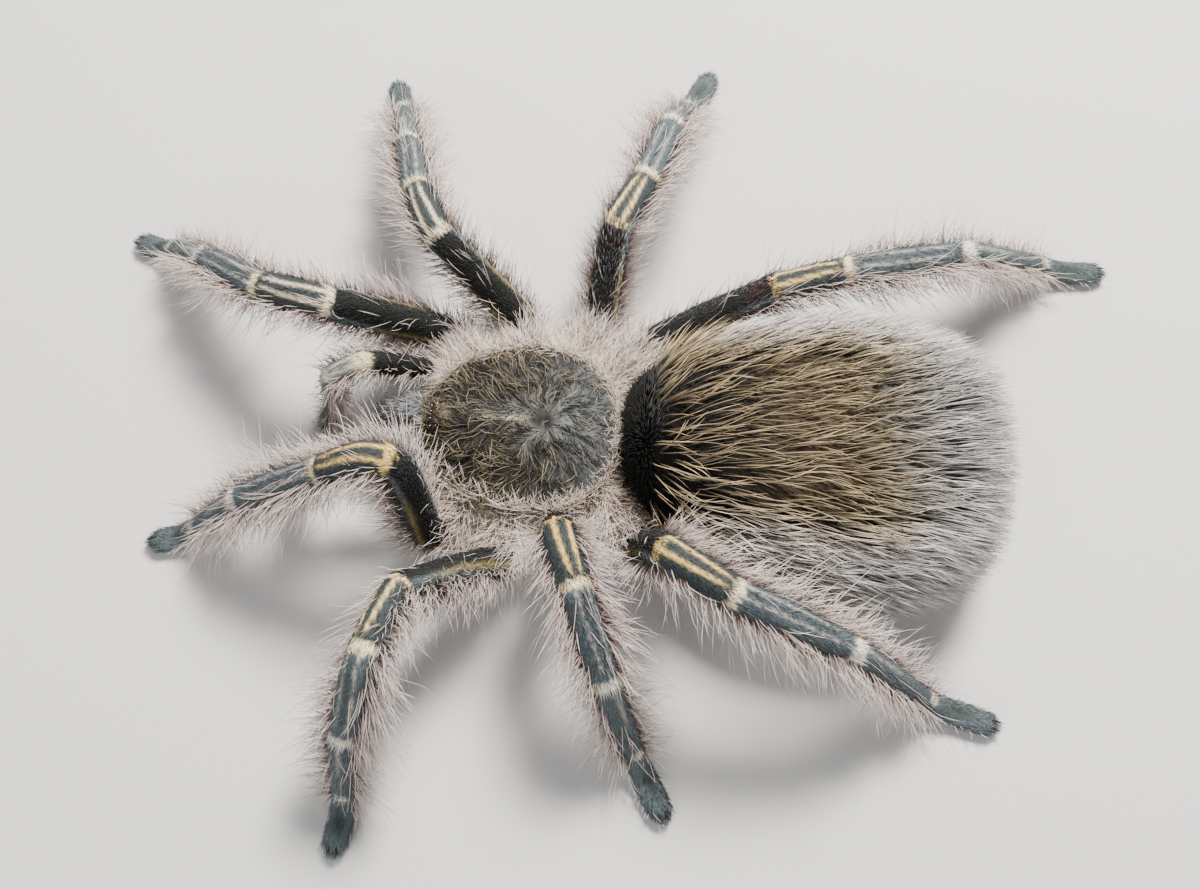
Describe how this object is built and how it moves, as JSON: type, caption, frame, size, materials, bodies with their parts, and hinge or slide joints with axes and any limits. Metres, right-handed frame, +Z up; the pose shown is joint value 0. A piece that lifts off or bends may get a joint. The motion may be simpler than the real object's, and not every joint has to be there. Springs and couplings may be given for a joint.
{
  "type": "tarantula",
  "caption": "Life-size still model of a Chaco golden knee tarantula standing with legs spread and belly on the floor, for display or scenes",
  "frame": {"origin": "middle of the model's box, on the floor it stands on", "axes": "+X towards the animal's left, +Y from head to tail, +Z up"},
  "size_m": [0.113, 0.136, 0.0259],
  "materials": {
    "black_velvet_coat": "velvety black hair with a faint green-grey sheen",
    "golden_striped_coat": "dark hair with golden stripes and cream rims",
    "slate_coat": "short blue-grey hair",
    "foot_coat": "dense blue-grey hair, flat pads underneath",
    "shield_brown": "dark shell with short fine hair",
    "underside_brown": "short dark brown hair",
    "abdomen_coat": "long golden and pinkish cream hair over black",
    "jaw_grey": "grey hair",
    "eye_black": "glossy black lenses",
    "fang_black": "smooth glossy black",
    "spinneret_brown": "short brown hair"
  },
  "bodies": {
    "root": {"abdomen": "abdomen_coat", "carapace": "shield_brown", "chelicera_left": "jaw_grey", "chelicera_right": "jaw_grey", "eye_front_middle_left": "eye_black", "eye_front_middle_right": "eye_black", "eye_front_outer_left": "eye_black", "eye_front_outer_right": "eye_black", "eye_mound": "shield_brown", "eye_rear_middle_left": "eye_black", "eye_rear_middle_right": "eye_black", "eye_rear_outer_left": "eye_black", "eye_rear_outer_right": "eye_black", "fang_left": "fang_black", "fang_right": "fang_black", "leg_1_left_foot": "foot_coat", "leg_1_left_knee": "golden_striped_coat", "leg_1_left_shin": "slate_coat", "leg_1_left_thigh": "black_velvet_coat", "leg_1_right_foot": "foot_coat", "leg_1_right_knee": "golden_striped_coat", "leg_1_right_shin": "slate_coat", "leg_1_right_thigh": "black_velvet_coat", "leg_2_left_foot": "foot_coat", "leg_2_left_knee": "golden_striped_coat", "leg_2_left_shin": "slate_coat", "leg_2_left_thigh": "black_velvet_coat", "leg_2_right_foot": "foot_coat", "leg_2_right_knee": "golden_striped_coat", "leg_2_right_shin": "slate_coat", "leg_2_right_thigh": "black_velvet_coat", "leg_3_left_foot": "foot_coat", "leg_3_left_knee": "golden_striped_coat", "leg_3_left_shin": "slate_coat", "leg_3_left_thigh": "black_velvet_coat", "leg_3_right_foot": "foot_coat", "leg_3_right_knee": "golden_striped_coat", "leg_3_right_shin": "slate_coat", "leg_3_right_thigh": "black_velvet_coat", "leg_4_left_foot": "foot_coat", "leg_4_left_knee": "golden_striped_coat", "leg_4_left_shin": "slate_coat", "leg_4_left_thigh": "black_velvet_coat", "leg_4_right_foot": "foot_coat", "leg_4_right_knee": "golden_striped_coat", "leg_4_right_shin": "slate_coat", "leg_4_right_thigh": "black_velvet_coat", "palp_left_foot": "foot_coat", "palp_left_knee": "golden_striped_coat", "palp_left_thigh": "black_velvet_coat", "palp_right_foot": "foot_coat", "palp_right_knee": "golden_striped_coat", "palp_right_thigh": "black_velvet_coat", "pedicel": "underside_brown", "spinneret_left": "spinneret_brown", "spinneret_right": "spinneret_brown", "sternum": "underside_brown"}
  },
  "joints": []
}
